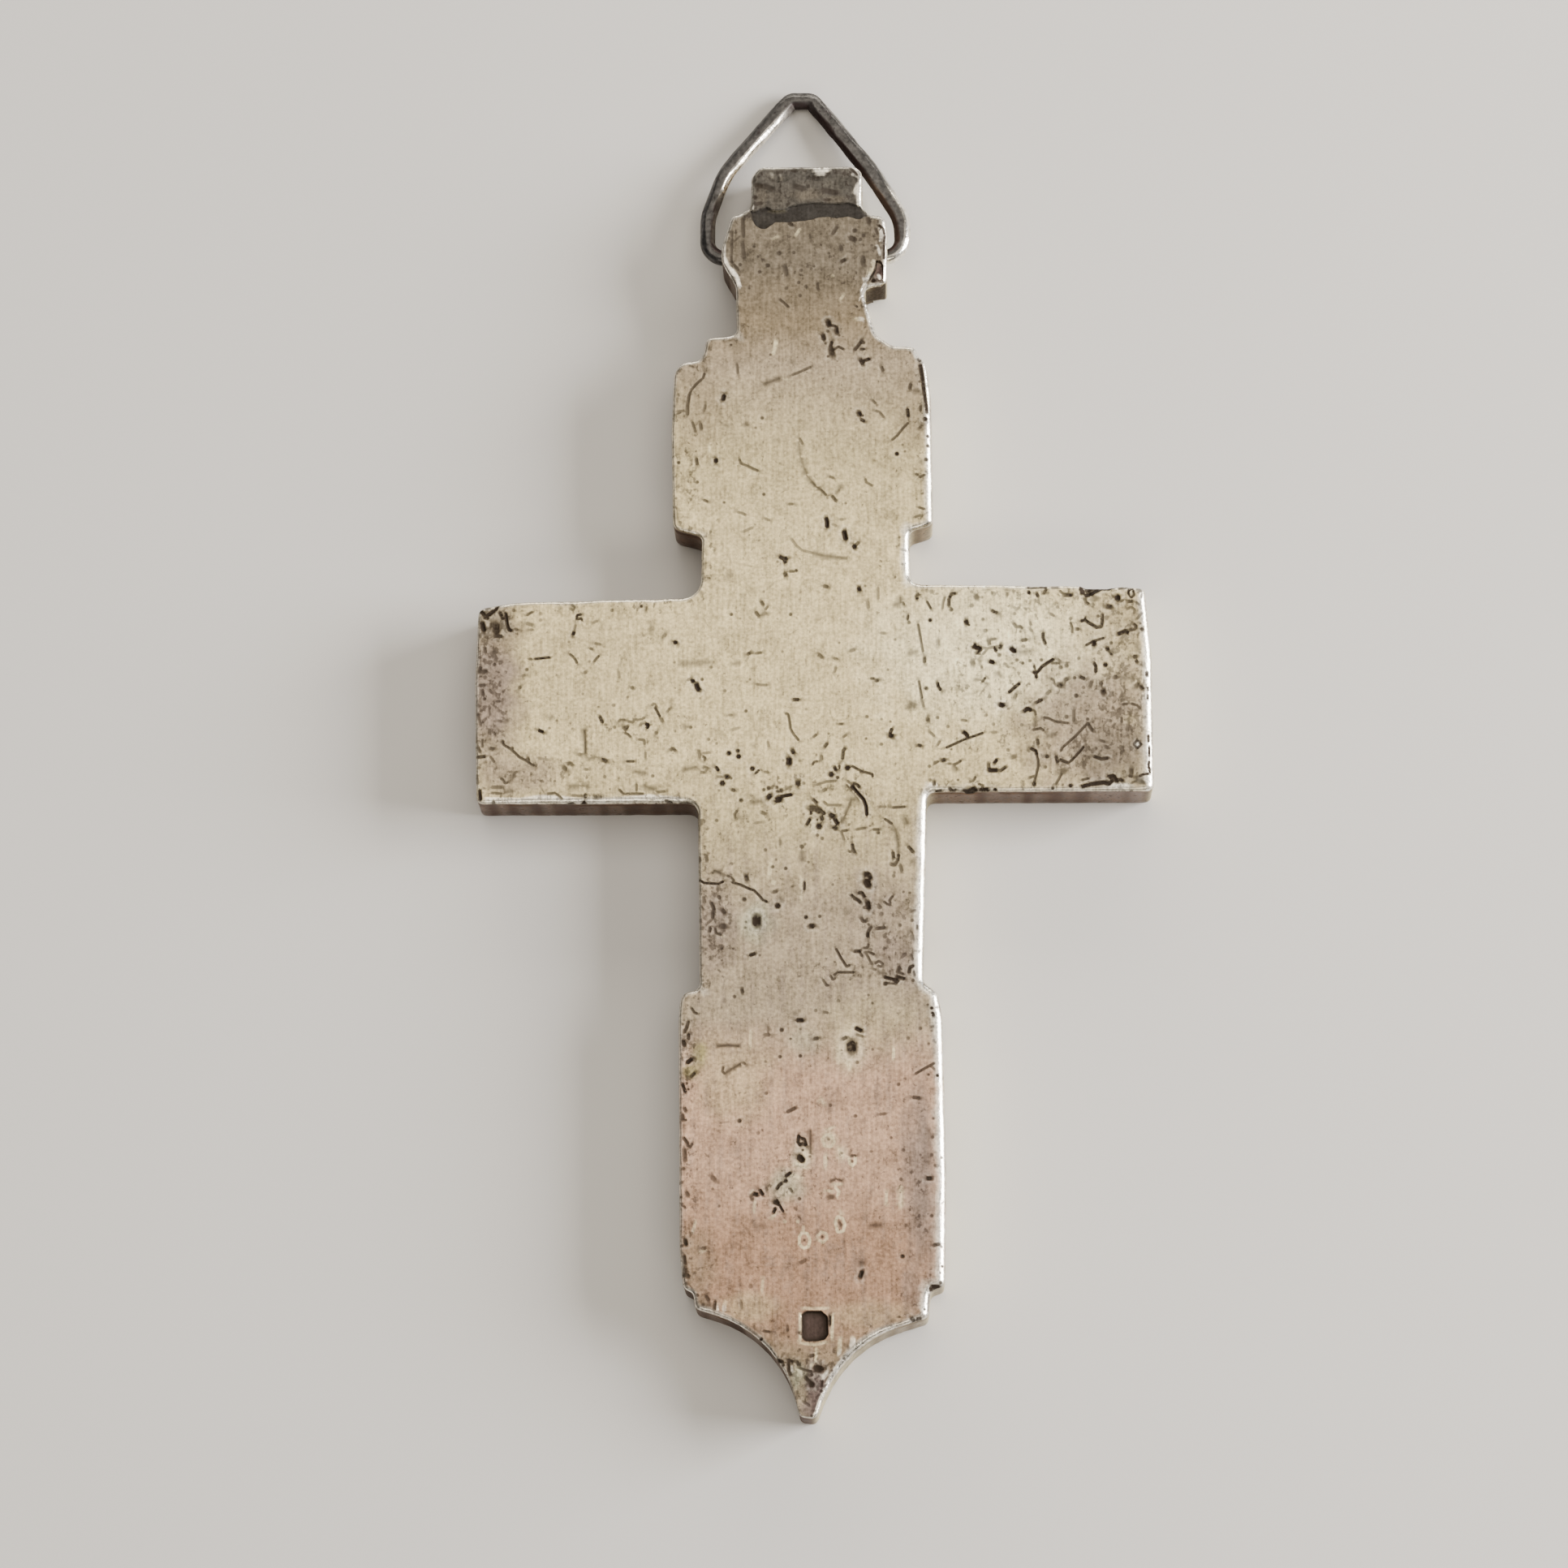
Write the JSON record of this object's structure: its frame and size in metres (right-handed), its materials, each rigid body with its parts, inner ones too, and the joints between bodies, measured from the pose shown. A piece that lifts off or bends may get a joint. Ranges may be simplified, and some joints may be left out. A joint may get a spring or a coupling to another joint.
{
  "type": "orthodox cross pendant",
  "caption": "Heavy silver pectoral cross lying face down, with a stepped outline, a pointed foot and a closed triangular hanging ring through its lug.",
  "frame": {"origin": "on the surface that the pendant lies on, in the middle of the whole pendant with its ring laid down", "axes": "+Z out of the back of the cross, +Y to its head and ring, +X across its arms"},
  "size_m": [0.0401, 0.081, 0.004],
  "materials": {
    "worn_silver": "warm hand-polished silver, worn, finely scratched and pitted, with tarnish in its recesses",
    "oxidised_silver": "hammered silver wire with a dark slate patina, bright where it is worn"
  },
  "bodies": {
    "cross": {"cross_body": "worn_silver"},
    "ring": {"hanging_ring": "oxidised_silver"}
  },
  "joints": [
    {"name": "ring_swing", "type": "hinge", "parent": "cross", "child": "ring", "pos_m": [-0.00053, 0.02966, 0.002], "axis": [1, 0, 0], "range_deg": [-140, 155]}
  ]
}
